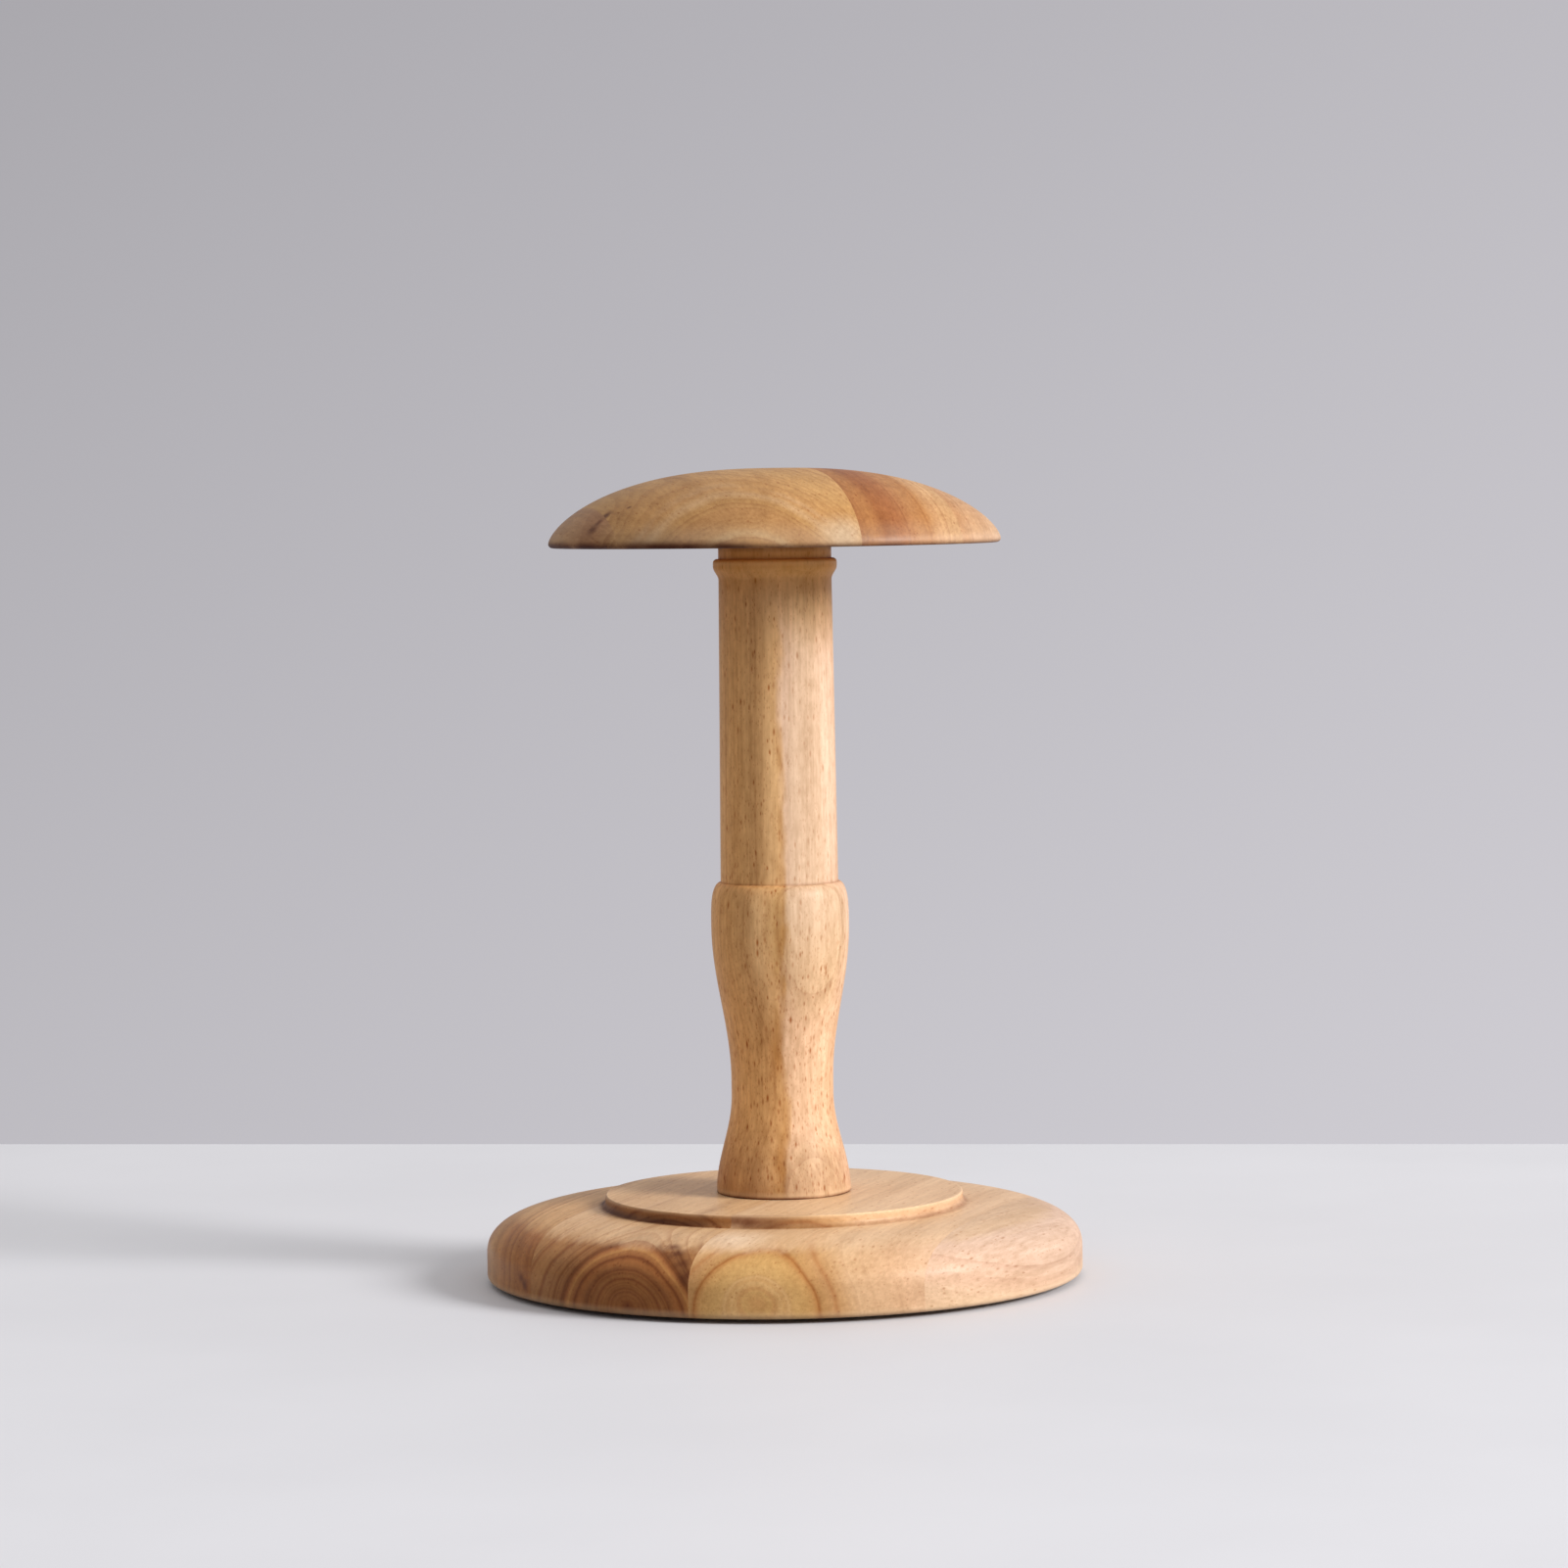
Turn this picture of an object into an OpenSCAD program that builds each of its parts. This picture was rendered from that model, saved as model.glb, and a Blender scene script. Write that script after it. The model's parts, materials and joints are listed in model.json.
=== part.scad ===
// Turned wooden wig stand: a domed head on a baluster post on a round, stepped base.
// Head and base are edge-glued from boards before they are turned. The post carries a
// hanger bolt in each end, and each bolt screws into a threaded insert, so the stand
// comes apart into head, post and base. Millimetres, +Z up, origin under the base's middle.

/* [Base] */
// Diameter of the base
base_d = 200; // [170:1:240]
// Thickness of the base, without its step
base_t = 23.5; // [20:0.5:30]
// Height of the shoulder that rolls from the side to the top
shoulder_h = 15; // [10:0.5:20]
// Fullness of the shoulder: 2 is an ellipse, more is squarer
shoulder_power = 2.5; // [2:0.1:4]
// Rounding of the base's lower edge
base_edge = 2; // [0.5:0.25:4]
// Diameter of the step that the post stands on
step_d = 120; // [100:1:140]
// Height of the step
step_h = 4; // [3:0.25:7]
// Radius of the cove at the root of the step
step_cove = 2; // [0.5:0.25:2.75]
// Rounding of the step's top edge
step_edge = 0.6; // [0.2:0.1:1.2]

/* [Base boards] */
// Width of the board on the left of the base's middle glue line
base_left_w = 62; // [50:1:70]
// Width of the board on the right of the base's middle glue line
base_right_w = 69; // [50:1:70]
// Offset of the middle glue line from the centre
base_glue_shift = 3.5; // [-10:0.5:10]
// Turn of the base boards, from the depth axis towards the right
base_board_turn = 20; // [-90:1:90]

/* [Pads] */
// Diameter of each pad under the base
pad_d = 18; // [10:1:30]
// Thickness of the pads
pad_t = 1.5; // [1:0.1:4]
// Rounding of the pads' lower edge
pad_edge = 0.4; // [0.1:0.1:0.8]
// Distance of the pads' middles from the base's edge
pad_inset = 20; // [19:1:60]

/* [Post] */
// Length of the post
post_l = 217; // [190:1:300]
// Diameter of the post's foot
foot_d = 45; // [40:0.5:60]
// Rounding of the foot's lower edge
foot_edge = 0.6; // [0.2:0.1:1.5]
// Height of the flare from the foot to the waist
flare_h = 33; // [20:1:45]
// Diameter of the waist
waist_d = 34.2; // [28:0.2:38]
// Height of the straight waist
waist_h = 5; // [2:0.5:15]
// Height over which the waist swells to the belly
swell_h = 52; // [35:1:65]
// Largest diameter of the belly
belly_d = 46.2; // [42:0.2:56]
// Height of the rounded shoulder from the belly to the shaft
belly_shoulder_h = 14.5; // [8:0.5:20]
// Fullness of the belly's shoulder: 2 is an ellipse, more is squarer
belly_power = 3.5; // [2:0.1:5]
// Diameter of the shaft at its lower end
shaft_low_d = 39.4; // [34:0.2:41]
// Diameter of the shaft at its upper end
shaft_top_d = 37.8; // [34:0.2:40]
// Diameter of the bead below the head
bead_d = 41.4; // [40:0.2:50]
// Height over which the bead swells out of the shaft
bead_swell_h = 4.5; // [2:0.25:8]
// Height of the bead's widest band
bead_band_h = 1.2; // [0.5:0.1:4]
// Rounding of the bead's upper edge
bead_edge = 1.4; // [0.5:0.1:1.7]
// Height of the neck between bead and head
neck_h = 4.4; // [2:0.2:12]

/* [Head] */
// Diameter of the head
head_d = 151; // [140:1:180]
// Height of the head
head_h = 25.7; // [23:0.1:40]
// Rounding of the head's lower rim
rim_edge = 1.4; // [0.5:0.1:3]
// Flatness of the head's crown: 2 is an ellipse, more is flatter
crown_power = 2.5; // [2:0.1:4]
// Slope of the head's side: 2 is an ellipse, less is more sloping
side_power = 1.5; // [1.2:0.1:3]
// Width of the middle board of the head
head_board_w = 72.3; // [60:0.1:74]
// Offset of the head's right glue line from the centre
head_glue_shift = 8.4; // [6:0.1:20]
// Turn of the head boards, from the depth axis towards the right
head_board_turn = -15.5; // [-90:0.5:90]

/* [Screw joints] */
// Thread diameter of the hanger bolts
bolt_d = 8; // [5:1:10]
// Length of each bolt inside the post
bolt_in = 28; // [15:1:40]
// Length of each bolt that stands out of the post
bolt_out = 17.5; // [12:0.5:17.5]
// Length of the bolt's pointed wood end
bolt_point = 6; // [3:0.5:10]
// Chamfer on the bolt's threaded end
bolt_chamfer = 0.8; // [0.3:0.1:1.2]
// Wall of the threaded inserts, outside the bolt's thread
insert_wall = 2; // [1.2:0.1:4]
// Length of the threaded inserts
insert_l = 18; // [18:0.5:20]
// Depth of the inserts' ends below the wood's face
insert_sink = 0.5; // [0.2:0.1:1]
// Spare depth of the insert bores
bore_spare = 1.5; // [0.5:0.1:3]
// Radial clearance of bolts and inserts in their bores
fit_gap = 0.05; // [0.02:0.01:0.1]

/* [Hidden] */

$fn = 96;
curve_steps = 28;
edge_steps = 6;
pad_count = 4;

// Levels from the table up
base_z = pad_t;
step_z = base_z + base_t + step_h;
head_z = step_z + post_l;
top_z = head_z + head_h;

// Radii that more than one piece uses
base_r = base_d / 2;
step_r = step_d / 2;
head_r = head_d / 2;
bolt_r = bolt_d / 2;
insert_r = bolt_r + fit_gap + insert_wall;
insert_bore_depth = insert_sink + insert_l + bore_spare;

// How far the cutting slabs reach past the blanks
over = 1;
slab_reach = max(base_r, head_r) + over;

// Glue lines, measured across the boards; the outer boards run out to the rim
base_lines = [-slab_reach, base_glue_shift - base_left_w, base_glue_shift,
              base_glue_shift + base_right_w, slab_reach];
head_lines = [-slab_reach, head_glue_shift - head_board_w, head_glue_shift, slab_reach];

base_tints = ["#b07a4c", "#a8713f", "#c89a66", "#d8b083"];
head_tints = ["#b5835a", "#c8a271", "#b87d50"];
post_tint = "#cfa26c";
steel_tint = "#b9bcc0";
pad_tint = "#2b2a29";

// Share of a smooth S-shaped rise at t, from 0 to 1
function s_curve(t) = (1 - cos(180 * t)) / 2;

// Points of an S-shaped change of radius between two heights
function s_points(r0, z0, r1, z1) =
    [for (i = [0:curve_steps]) let (t = i / curve_steps) [r0 + (r1 - r0) * s_curve(t), z0 + (z1 - z0) * t]];

// Points of a quarter of a superellipse, from its widest radius up to its top
function quarter_points(mid_r, mid_z, wide, high, wide_power, high_power, steps) =
    [for (i = [0:steps]) let (a = 90 * i / steps)
        [mid_r + wide * pow(cos(a), 2 / wide_power), mid_z + high * pow(sin(a), 2 / high_power)]];

// Points of a round arc about a middle, between two angles
function arc_points(mid_r, mid_z, radius, from, to) =
    [for (i = [0:edge_steps]) let (a = from + (to - from) * i / edge_steps)
        [mid_r + radius * cos(a), mid_z + radius * sin(a)]];

// The part of a blank between two glue lines
module board_of(lines, number, turn, low_z, high_z) {
    intersection() {
        children();
        rotate([0, 0, -turn])
            translate([lines[number - 1], -slab_reach, low_z - over])
                cube([lines[number] - lines[number - 1], 2 * slab_reach, high_z - low_z + 2 * over]);
    }
}

// The glued and turned base: round lower edge, rolled shoulder, coved step
module base_blank() {
    root_r = step_r + step_cove;
    base_top = base_z + base_t;
    outline = concat(
        [[0, base_z]],
        arc_points(base_r - base_edge, base_z + base_edge, base_edge, -90, 0),
        quarter_points(root_r, base_top - shoulder_h, base_r - root_r, shoulder_h,
                       shoulder_power, shoulder_power, curve_steps),
        arc_points(root_r, base_top + step_cove, step_cove, 270, 180),
        arc_points(step_r - step_edge, step_z - step_edge, step_edge, 0, 90),
        [[0, step_z]]);
    difference() {
        rotate_extrude() polygon(outline);
        translate([0, 0, step_z - insert_bore_depth])
            cylinder(r = insert_r + fit_gap, h = insert_bore_depth + over);
    }
}

module base_board(number) {
    color(base_tints[number - 1])
        board_of(base_lines, number, base_board_turn, base_z, step_z) base_blank();
}

// The glued and turned head: rounded rim, sloping side, flat-topped crown, flat underside
module head_blank() {
    outline = concat(
        [[0, head_z]],
        arc_points(head_r - rim_edge, head_z + rim_edge, rim_edge, -90, 0),
        quarter_points(0, head_z + rim_edge, head_r, head_h - rim_edge, crown_power, side_power, curve_steps));
    difference() {
        rotate_extrude() polygon(outline);
        translate([0, 0, head_z - over])
            cylinder(r = insert_r + fit_gap, h = insert_bore_depth + over);
    }
}

module head_board(number) {
    color(head_tints[number - 1])
        board_of(head_lines, number, head_board_turn, head_z, top_z) head_blank();
}

// A hanger bolt along +Z with the post's end face at z = 0: wood point above, threaded end below
module hanger_bolt() {
    color(steel_tint)
        rotate_extrude()
            polygon([[0, -bolt_out], [bolt_r - bolt_chamfer, -bolt_out], [bolt_r, bolt_chamfer - bolt_out],
                     [bolt_r, bolt_in - bolt_point], [0, bolt_in]]);
}

// The bore that a hanger bolt is driven into, with the drill's pointed end
module bolt_bore() {
    bore_r = bolt_r + fit_gap;
    rotate_extrude()
        polygon([[0, -over], [bore_r, -over], [bore_r, bolt_in + fit_gap], [0, bolt_in + fit_gap + bore_r]]);
}

// A threaded insert along +Z with its inner end at z = 0
module threaded_insert() {
    color(steel_tint)
        difference() {
            cylinder(r = insert_r, h = insert_l);
            translate([0, 0, -over])
                cylinder(r = bolt_r + fit_gap, h = insert_l + 2 * over);
        }
}

module base_insert() {
    translate([0, 0, step_z - insert_sink - insert_l]) threaded_insert();
}

module head_insert() {
    translate([0, 0, head_z + insert_sink]) threaded_insert();
}

module lower_bolt() {
    translate([0, 0, step_z]) hanger_bolt();
}

module upper_bolt() {
    translate([0, 0, head_z]) mirror([0, 0, 1]) hanger_bolt();
}

// The turned post: flared foot, waist, belly with a rounded shoulder, tapered shaft, bead and neck
module post() {
    waist_z = step_z + flare_h;
    belly_z = waist_z + waist_h + swell_h;
    bead_top_z = head_z - neck_h;
    band_z = bead_top_z - bead_edge - bead_band_h;
    neck_r = bead_d / 2 - bead_edge;
    outline = concat(
        [[0, step_z]],
        arc_points(foot_d / 2 - foot_edge, step_z + foot_edge, foot_edge, -90, 0),
        s_points(foot_d / 2, step_z + foot_edge, waist_d / 2, waist_z),
        s_points(waist_d / 2, waist_z + waist_h, belly_d / 2, belly_z),
        quarter_points(shaft_low_d / 2, belly_z, (belly_d - shaft_low_d) / 2, belly_shoulder_h,
                       2, belly_power, curve_steps),
        s_points(shaft_top_d / 2, band_z - bead_swell_h, bead_d / 2, band_z),
        arc_points(neck_r, bead_top_z - bead_edge, bead_edge, 0, 90),
        [[shaft_top_d / 2, bead_top_z], [shaft_top_d / 2, head_z], [0, head_z]]);
    color(post_tint)
        difference() {
            rotate_extrude() polygon(outline);
            translate([0, 0, step_z]) bolt_bore();
            translate([0, 0, head_z]) mirror([0, 0, 1]) bolt_bore();
        }
}

// A soft pad under the base, rounded at the table
module foot_pad(number) {
    outline = concat(
        [[0, 0]],
        arc_points(pad_d / 2 - pad_edge, pad_edge, pad_edge, -90, 0),
        [[pad_d / 2, pad_t], [0, pad_t]]);
    color(pad_tint)
        rotate([0, 0, 360 * (number - 0.5) / pad_count])
            translate([base_r - pad_inset, 0, 0])
                rotate_extrude() polygon(outline);
}

base_board(1);  // base_board_1
base_board(2);  // base_board_2
base_board(3);  // base_board_3
base_board(4);  // base_board_4
base_insert();
foot_pad(1);  // foot_pad_1
foot_pad(2);  // foot_pad_2
foot_pad(3);  // foot_pad_3
foot_pad(4);  // foot_pad_4
lower_bolt();
post();
upper_bolt();
head_insert();
head_board(1);  // head_board_1
head_board(2);  // head_board_2
head_board(3);  // head_board_3
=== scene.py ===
# %% [markdown]
# # A turned wooden wig stand
# The stand is three lathe-turned pieces: a round stepped base, a baluster post and a low domed head.
# Base and head are glued up from boards before they are turned, so every board shows its own growth rings.
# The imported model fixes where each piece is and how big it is. This lesson gives each piece its finished
# shape and its wood, and then sets up a table, a light and a camera.

# %% Load the frame
import json
from math import atan, ceil, cos, hypot, pi, radians, sin, tan, tau

import bmesh
import bpy
from mathutils import Matrix, Vector

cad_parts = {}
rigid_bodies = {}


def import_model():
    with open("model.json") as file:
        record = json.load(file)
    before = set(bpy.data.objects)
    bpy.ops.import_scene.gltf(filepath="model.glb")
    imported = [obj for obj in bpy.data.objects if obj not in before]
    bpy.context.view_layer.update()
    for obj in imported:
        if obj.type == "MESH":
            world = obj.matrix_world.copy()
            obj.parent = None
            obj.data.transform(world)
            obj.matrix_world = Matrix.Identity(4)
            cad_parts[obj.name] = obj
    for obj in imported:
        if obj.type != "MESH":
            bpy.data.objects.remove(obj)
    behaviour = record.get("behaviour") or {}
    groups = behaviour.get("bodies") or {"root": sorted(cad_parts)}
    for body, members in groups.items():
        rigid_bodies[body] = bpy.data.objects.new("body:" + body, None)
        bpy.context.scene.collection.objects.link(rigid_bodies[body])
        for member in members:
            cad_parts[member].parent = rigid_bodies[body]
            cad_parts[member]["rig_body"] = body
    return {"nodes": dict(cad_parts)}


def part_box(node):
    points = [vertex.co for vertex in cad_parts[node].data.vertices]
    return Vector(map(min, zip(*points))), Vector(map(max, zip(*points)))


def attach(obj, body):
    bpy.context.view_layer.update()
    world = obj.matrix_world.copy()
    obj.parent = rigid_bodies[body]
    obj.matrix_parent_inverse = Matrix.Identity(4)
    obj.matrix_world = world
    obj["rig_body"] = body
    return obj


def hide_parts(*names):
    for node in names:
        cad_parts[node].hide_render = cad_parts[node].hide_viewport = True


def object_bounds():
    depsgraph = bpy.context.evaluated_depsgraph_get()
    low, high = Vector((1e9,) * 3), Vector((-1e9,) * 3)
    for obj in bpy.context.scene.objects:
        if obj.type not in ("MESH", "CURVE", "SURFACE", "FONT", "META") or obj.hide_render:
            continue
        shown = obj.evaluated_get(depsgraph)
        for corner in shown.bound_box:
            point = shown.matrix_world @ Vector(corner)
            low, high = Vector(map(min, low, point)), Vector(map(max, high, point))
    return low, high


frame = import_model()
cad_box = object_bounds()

print("nodes in the frame:", len(frame["nodes"]))

# %% [markdown]
# ## Sizes
# Levels and outer radii are read from the frame, so the looks can't drift away from the construction.
# Everything is in metres, and MM turns a turner's millimetres into metres.

# %% Levels and radii from the frame
MM = 0.001
base_r = cad_box[1].x
base_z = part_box("base_board_2")[0].z
step_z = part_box("post")[0].z
head_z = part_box("post")[1].z
head_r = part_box("head_board_3")[1].x
top_z = cad_box[1].z
print("base radius, head radius, height:", [round(size / MM, 2) for size in (base_r, head_r, top_z)])

# %% [markdown]
# ## Curves that a turner cuts
# A turned outline is made of a few kinds of stretch: a rounded edge, a smooth S between two diameters, and
# a shoulder that rolls over like a quarter of an ellipse. Each is a formula here, so an outline needs only
# its few real measures, and every stretch is smooth at any number of steps.

# %% Outline helpers
def round_edge(middle, radius, first, last, steps=8):
    """Points of an arc about a middle, between two angles in degrees."""
    angles = [radians(first + (last - first) * i / steps) for i in range(steps + 1)]
    return [(middle[0] + radius * cos(a), middle[1] + radius * sin(a)) for a in angles]


def s_bend(start, end, steps=24):
    """Points of a smooth S from one radius and height to another."""
    shares = [i / steps for i in range(steps + 1)]
    return [(start[0] + (end[0] - start[0]) * (1 - cos(pi * t)) / 2, start[1] + (end[1] - start[1]) * t)
            for t in shares]


def rolled_quarter(middle, wide, high, wide_power, high_power, steps=32):
    """Points of a quarter superellipse, from its widest radius up to its top."""
    angles = [pi / 2 * i / steps for i in range(steps + 1)]
    radii = [middle[0] + wide * max(cos(a), 0) ** (2 / wide_power) for a in angles]
    heights = [middle[1] + high * sin(a) ** (2 / high_power) for a in angles]
    return list(zip(radii, heights))


# %% [markdown]
# ## From an outline to a solid
# A lathe sweeps an outline once round an axis, and so does bmesh's spin. The last ring has to be merged
# with the first, and the points on the axis with each other, or the solid has a seam and open poles.

# %% Shape helpers
MERGE_DISTANCE = 0.001 * MM
CUT_DISTANCE = 0.0001 * MM


def wire(shape, outline):
    """Draws an outline of radius and height points: its vertices and edges."""
    points = [shape.verts.new((radius, 0, height)) for radius, height in outline]
    return points + [shape.edges.new(pair) for pair in zip(points, points[1:])]


def lathe(outline, steps=240):
    """Spins an outline about the upright axis into a closed solid."""
    shape = bmesh.new()
    bmesh.ops.spin(shape, geom=wire(shape, outline), axis=(0, 0, 1), angle=tau, steps=steps, use_merge=True)
    bmesh.ops.remove_doubles(shape, verts=shape.verts, dist=MERGE_DISTANCE)
    bmesh.ops.recalc_face_normals(shape, faces=shape.faces)
    return shape


def cut_away(shape, place, outward):
    """Cuts a shape along a plane, clears what lies outward of it and returns the edges of the cut."""
    cut = bmesh.ops.bisect_plane(shape, geom=shape.verts[:] + shape.edges[:] + shape.faces[:],
                                 dist=CUT_DISTANCE, plane_co=place, plane_no=outward, clear_outer=True)
    return [item for item in cut["geom_cut"] if isinstance(item, bmesh.types.BMEdge)]


def upright_turn(angle):
    """A turn about the upright axis."""
    return Matrix.Rotation(angle, 3, "Z")


# %% [markdown]
# ## From a solid to a piece
# Each piece stands for one node of the frame and moves with that node's body. Edges flatter than a limit
# are shaded smooth, and sharper ones stay crisp.

# %% Piece helpers
SHARP_ANGLE = radians(32)


def add_object(name, data):
    """Makes an object from its data and puts it in the scene."""
    item = bpy.data.objects.new(name, data)
    bpy.context.scene.collection.objects.link(item)
    return item


def mesh_object(shape, name, material):
    """Makes a mesh object of one material from a shape, which is freed."""
    mesh = bpy.data.meshes.new(name)
    shape.to_mesh(mesh)
    shape.free()
    mesh.materials.append(material)
    print(name, "has", len(mesh.polygons), "faces")
    return add_object(name, mesh)


def make_piece(shape, name, node, material):
    """Makes a mesh object from a shape, in place of a node and on that node's body."""
    bmesh.ops.recalc_face_normals(shape, faces=shape.faces)
    for edge in shape.edges:
        edge.smooth = edge.calc_face_angle(0) < SHARP_ANGLE
    for face in shape.faces:
        face.smooth = True
    piece = mesh_object(shape, name, material)
    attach(piece, frame["nodes"][node]["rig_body"])
    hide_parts(node)
    return piece


# %% [markdown]
# ## Nodes with less typing
# A wood material is a long chain of small sums. These helpers add a node, link what is a socket and set
# what is a number, so that a chain reads like a sum on paper.

# %% Node helpers
NUMBER = "NodeSocketFloat"
VECTOR = "NodeSocketVector"
COLOUR = "NodeSocketColor"


def feed(tree, sockets, values):
    """Links each value that is a socket and sets any other."""
    for socket, value in zip(sockets, values):
        if isinstance(value, bpy.types.NodeSocket):
            tree.links.new(value, socket)
        else:
            socket.default_value = value


def feed_named(tree, node, **values):
    """Feeds a node's inputs by name, with _ for a space, and returns its outputs."""
    for label, value in values.items():
        feed(tree, [node.inputs[label.replace("_", " ")]], [value])
    return node.outputs


def add_node(tree, kind, values=(), **settings):
    """Adds a node, sets its options and feeds its first inputs."""
    node = tree.nodes.new(kind)
    for option, value in settings.items():
        setattr(node, option, value)
    feed(tree, node.inputs, values)
    return node


def add_group(tree, group, **values):
    """Places a node group and feeds its inputs by name."""
    return feed_named(tree, add_node(tree, "ShaderNodeGroup", node_tree=group), **values)


def new_group(name, inputs, outputs):
    """A new shader node group, what goes in and what comes out."""
    group = bpy.data.node_groups.new(name, "ShaderNodeTree")
    for in_out, sockets in (("INPUT", inputs), ("OUTPUT", outputs)):
        for label, kind in sockets.items():
            group.interface.new_socket(label, in_out=in_out, socket_type=kind)
    print("node group:", name)
    return group, group.nodes.new("NodeGroupInput").outputs, group.nodes.new("NodeGroupOutput").inputs


# %% Sums in nodes
def calc(tree, operation, *values):
    """A sum of numbers."""
    return add_node(tree, "ShaderNodeMath", values, operation=operation).outputs[0]


def times(tree, first, second):
    """The product of two numbers."""
    return calc(tree, "MULTIPLY", first, second)


def times_plus(tree, first, second, more):
    """A product with more added to it."""
    return calc(tree, "MULTIPLY_ADD", first, second, more)


def larger(tree, first, second):
    """The larger of two numbers."""
    return calc(tree, "MAXIMUM", first, second)


def vector_calc(tree, operation, *values):
    """A sum of vectors."""
    return add_node(tree, "ShaderNodeVectorMath", values, operation=operation).outputs[0]


def measure(tree, operation, *values):
    """A number from one or two vectors: a length or a dot product."""
    return add_node(tree, "ShaderNodeVectorMath", values, operation=operation).outputs["Value"]


def split(tree, vector):
    """The X, Y and Z of a vector."""
    return add_node(tree, "ShaderNodeSeparateXYZ", (vector,)).outputs


def ease(tree, value, low, high):
    """A smooth step from 0 at low to 1 at high."""
    step = add_node(tree, "ShaderNodeMapRange", (value, low, high), interpolation_type="SMOOTHSTEP")
    return step.outputs[0]


def along_grain(tree, vector, share):
    """A place whose Y counts only for a share, which draws a texture out along the grain."""
    return vector_calc(tree, "MULTIPLY", vector, (1, share, 1))


def noise(tree, vector, seed, scale, detail):
    """A noise texture with its own seed: output 0 is a value and 1 a colour."""
    node = add_node(tree, "ShaderNodeTexNoise", noise_dimensions="4D")
    return feed_named(tree, node, Vector=vector, W=seed, Scale=scale, Detail=detail)


def swing(tree, vector, seed, scale, detail):
    """A noise that swings about 0, by up to a half either way."""
    return calc(tree, "SUBTRACT", noise(tree, vector, seed, scale, detail)[0], 0.5)


# %% Colours and materials
def tone(hex_colour):
    """Six hex digits as Blender's linear red, green, blue and alpha."""
    parts = [int(hex_colour[i:i + 2], 16) / 255 for i in (0, 2, 4)]
    return tuple(p / 12.92 if p <= 0.04045 else ((p + 0.055) / 1.055) ** 2.4 for p in parts) + (1.0,)


def mix(tree, share, first, second, blend_type="MIX"):
    """Mixes two colours by a share. A mix node has its colours at inputs 6 and 7, and at output 2."""
    node = add_node(tree, "ShaderNodeMix", data_type="RGBA", blend_type=blend_type)
    feed(tree, [node.inputs[0], node.inputs[6], node.inputs[7]], [share, first, second])
    return node.outputs[2]


def new_material(name):
    """A new material, its node tree, its shader and its coordinates."""
    material = bpy.data.materials.new(name)
    material.use_nodes = True
    tree = material.node_tree
    return material, tree, tree.nodes["Principled BSDF"], add_node(tree, "ShaderNodeTexCoord").outputs


def bump_normal(tree, strength, depth, height):
    """A normal that is bent by a height, which is depth metres deep."""
    bump = add_node(tree, "ShaderNodeBump")
    return feed_named(tree, bump, Strength=strength, Distance=depth, Height=height)[0]


# %% [markdown]
# ## Growth rings
# A board is sawn from a trunk, so its figure is a stack of rings round the pith, the trunk's middle line.
# A flat picture of rings would break at every edge. Rings that are worked out in the board's own space, as
# the distance from the pith, cut through the wood as real ones do: arcs on the end grain and long streaks
# on top. X runs across the board, Y along the grain and Z up, with the pith at the origin. A leaning trunk
# grows more on one side, so its rings aren't about one middle: each is shifted by its lean times its radius,
# and the radius at a point is then the root of a quadratic. Radii are in millimetres.

# %% Growth rings group
growth_rings, given, made = new_group(
    "Growth rings",
    {"Vector": VECTOR, "Lean": VECTOR, "Ring Width": NUMBER, "Wander": NUMBER, "Seed": NUMBER},
    {"Radius": NUMBER, "Ring": NUMBER})
tree = growth_rings
to_mm = (1 / MM, 1 / MM, 1 / MM)
point = vector_calc(tree, "MULTIPLY", given["Vector"], to_mm)
drift = noise(tree, along_grain(tree, point, 0.25), given["Seed"], scale=0.03, detail=1.0)[1]
drift = vector_calc(tree, "SUBTRACT", drift, (0.5, 0.5, 0.5))
drift = vector_calc(tree, "MULTIPLY", drift, given["Wander"])
bent = vector_calc(tree, "MULTIPLY_ADD", drift, (2, 2, 2), point)
flat = along_grain(tree, bent, 0)
leaning = measure(tree, "DOT_PRODUCT", flat, given["Lean"])
lean_squared = measure(tree, "DOT_PRODUCT", given["Lean"], given["Lean"])
upright = calc(tree, "SUBTRACT", 1.0, lean_squared)
inner = times(tree, upright, measure(tree, "DOT_PRODUCT", flat, flat))
root = calc(tree, "SQRT", times_plus(tree, leaning, leaning, inner))
far = calc(tree, "DIVIDE", calc(tree, "SUBTRACT", root, leaning), upright)
wobble = swing(tree, along_grain(tree, point, 0.06), given["Seed"], scale=0.2, detail=2.0)
radius = calc(tree, "ADD", wobble, far)

# %% Late wood of each ring
season = add_node(tree, "ShaderNodeTexNoise", noise_dimensions="1D")
season = feed_named(tree, season, W=radius, Scale=0.13, Detail=1.0)[0]
season_swing = 3.0
rings_out = calc(tree, "DIVIDE", radius, given["Ring Width"])
phase = times_plus(tree, season, season_swing, rings_out)
ring_number = calc(tree, "ADD", calc(tree, "FLOOR", phase), given["Seed"])
chance = add_node(tree, "ShaderNodeTexWhiteNoise", noise_dimensions="1D")
chance = feed_named(tree, chance, W=ring_number)["Value"]
within = calc(tree, "FRACT", phase)
darkening = ease(tree, within, 0.25, 0.93)
ending = ease(tree, within, 1.0, 0.95)
late_wood = times(tree, darkening, ending)
ring = times(tree, late_wood, chance)
feed(tree, [made["Radius"], made["Ring"]], [radius, ring])
print("growth ring nodes:", len(growth_rings.nodes))

# %% [markdown]
# ## Fibres and pores
# Close up, this pale hardwood is a bundle of fibres with wide open pores: dark dashes along the grain and
# dots where the fibres are cut across. Cells of a Voronoi texture, stretched along the grain, give both from
# one rule, and a slow noise gathers them into clouds as in the tree. The group tints the ring colour with
# streaks, rings, end grain and pores, and puts out a roughness and a height, because an open pore is rougher
# and lower than the lacquer round it.

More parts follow.
